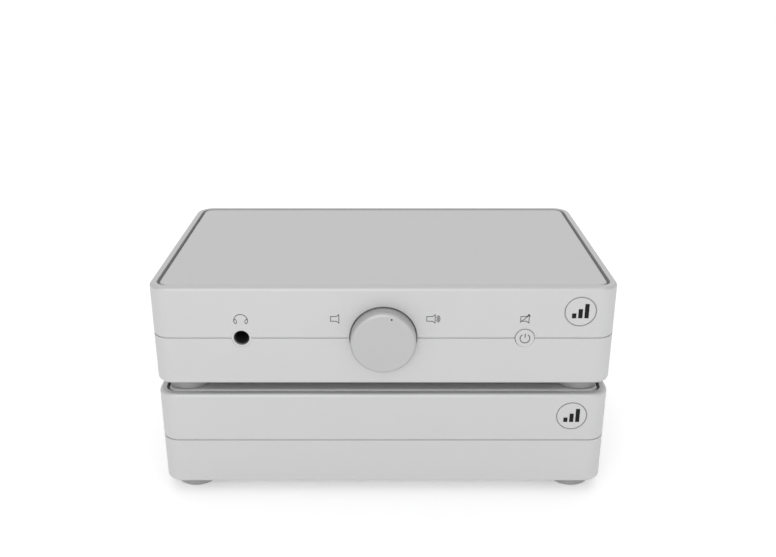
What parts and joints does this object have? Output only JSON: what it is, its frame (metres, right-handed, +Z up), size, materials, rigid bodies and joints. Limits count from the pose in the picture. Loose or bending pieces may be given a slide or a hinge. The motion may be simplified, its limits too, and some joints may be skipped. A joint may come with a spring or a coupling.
{
  "type": "headphone amplifier",
  "caption": "Low silver desktop headphone amplifier with a large round volume knob, standing on a matching power supply of the same footprint.",
  "frame": {"origin": "on the surface it stands on, midway between the left and right sides and midway between the knob's face and the ends of the rear sockets", "axes": "+X to the right seen from the front, +Y towards the rear, +Z up; the front faces -Y"},
  "size_m": [0.22, 0.1366, 0.112],
  "materials": {
    "case_aluminium": "fine bead-blasted, clear anodised, satin matt",
    "plate_aluminium": "fine bead-blasted, clear anodised, satin matt",
    "knob_aluminium": "turned, fine bead-blasted, clear anodised",
    "badge_aluminium": "bead-blasted disc with a fine printed mark",
    "foot_rubber": "matt grey moulded rubber",
    "black_rubber": "matt",
    "black_steel": "black oxide screws",
    "zinc_steel": "bright zinc plate",
    "spring_steel": "bright drawn wire",
    "nickel": "nickel plate",
    "brass_parts": "plain brass",
    "gold_plate": "gold-plated brass",
    "dark_panel": "fine-texture black powder coat",
    "winding_tape": "amber polyester tape over enamelled copper",
    "circuit_board": "green solder mask",
    "capacitor_sleeve": "shrunk sleeve, slightly glossy",
    "component_black": "moulded epoxy",
    "component_blue": "blue moulded housing",
    "black_aluminium": "black anodised",
    "black_plastic": "moulded, fine grain",
    "white_plastic": "moulded"
  },
  "bodies": {
    "power_supply": {"supply_lower_shell": "case_aluminium", "supply_upper_shell": "case_aluminium", "supply_top_plate": "plate_aluminium", "supply_plate_screws": "black_steel", "supply_feet": "foot_rubber", "supply_foot_screws": "black_steel", "supply_case_screws": "black_steel", "supply_badge": "badge_aluminium", "supply_rear_panel": "dark_panel", "supply_panel_screws": "black_steel", "mains_transformer": "winding_tape", "transformer_pads": "black_rubber", "transformer_washer": "zinc_steel", "transformer_bolt": "zinc_steel", "supply_board": "circuit_board", "supply_standoffs": "brass_parts", "supply_board_screws": "zinc_steel", "reservoir_capacitors": "capacitor_sleeve", "bridge_rectifier": "component_black", "voltage_regulators": "component_black", "heat_sink": "black_aluminium", "mains_fuse": "nickel", "mains_inlet": "black_plastic", "inlet_blades": "nickel", "rocker_frame": "black_plastic", "dc_output_socket": "nickel", "dc_output_insert": "black_plastic"},
    "rocker": {"mains_rocker": "black_plastic"},
    "amplifier": {"amp_lower_shell": "case_aluminium", "amp_upper_shell": "case_aluminium", "amp_top_plate": "plate_aluminium", "amp_plate_screws": "black_steel", "amp_feet": "foot_rubber", "amp_foot_screws": "black_steel", "amp_case_screws": "black_steel", "amp_badge": "badge_aluminium", "amp_rear_panel": "dark_panel", "amp_panel_screws": "black_steel", "amp_board": "circuit_board", "amp_standoffs": "brass_parts", "amp_board_screws": "zinc_steel", "volume_pot": "component_blue", "pot_nut": "brass_parts", "headphone_jack": "black_plastic", "jack_bezel": "badge_aluminium", "button_spring": "spring_steel", "power_switch": "component_black", "phono_sockets": "gold_plate", "phono_inserts": "white_plastic", "dc_input_socket": "nickel", "dc_input_insert": "black_plastic", "amp_capacitors": "capacitor_sleeve", "output_transistors": "component_black", "amp_chips": "component_black", "mute_relays": "white_plastic"},
    "knob": {"volume_knob": "knob_aluminium", "pot_shaft": "zinc_steel", "knob_screw": "black_steel"},
    "button": {"power_button": "badge_aluminium"}
  },
  "joints": [
    {"name": "amplifier_lift", "type": "slide", "parent": "power_supply", "child": "amplifier", "axis": [0, 0, 1], "range_m": [0, 0.12]},
    {"name": "volume_turn", "type": "hinge", "parent": "amplifier", "child": "knob", "pos_m": [0, -0.06175, 0.0865], "axis": [0, 1, 0], "range_deg": [-167, 133]},
    {"name": "button_press", "type": "slide", "parent": "amplifier", "child": "button", "axis": [0, 1, 0], "range_m": [0, 0.0015], "stiffness_N_per_m": 200, "springref_m": -0.003, "deforming": ["button_spring"]},
    {"name": "rocker_tip", "type": "hinge", "parent": "power_supply", "child": "rocker", "pos_m": [-0.022, 0.05675, 0.0305], "axis": [1, 0, 0], "range_deg": [-16, 0]}
  ]
}
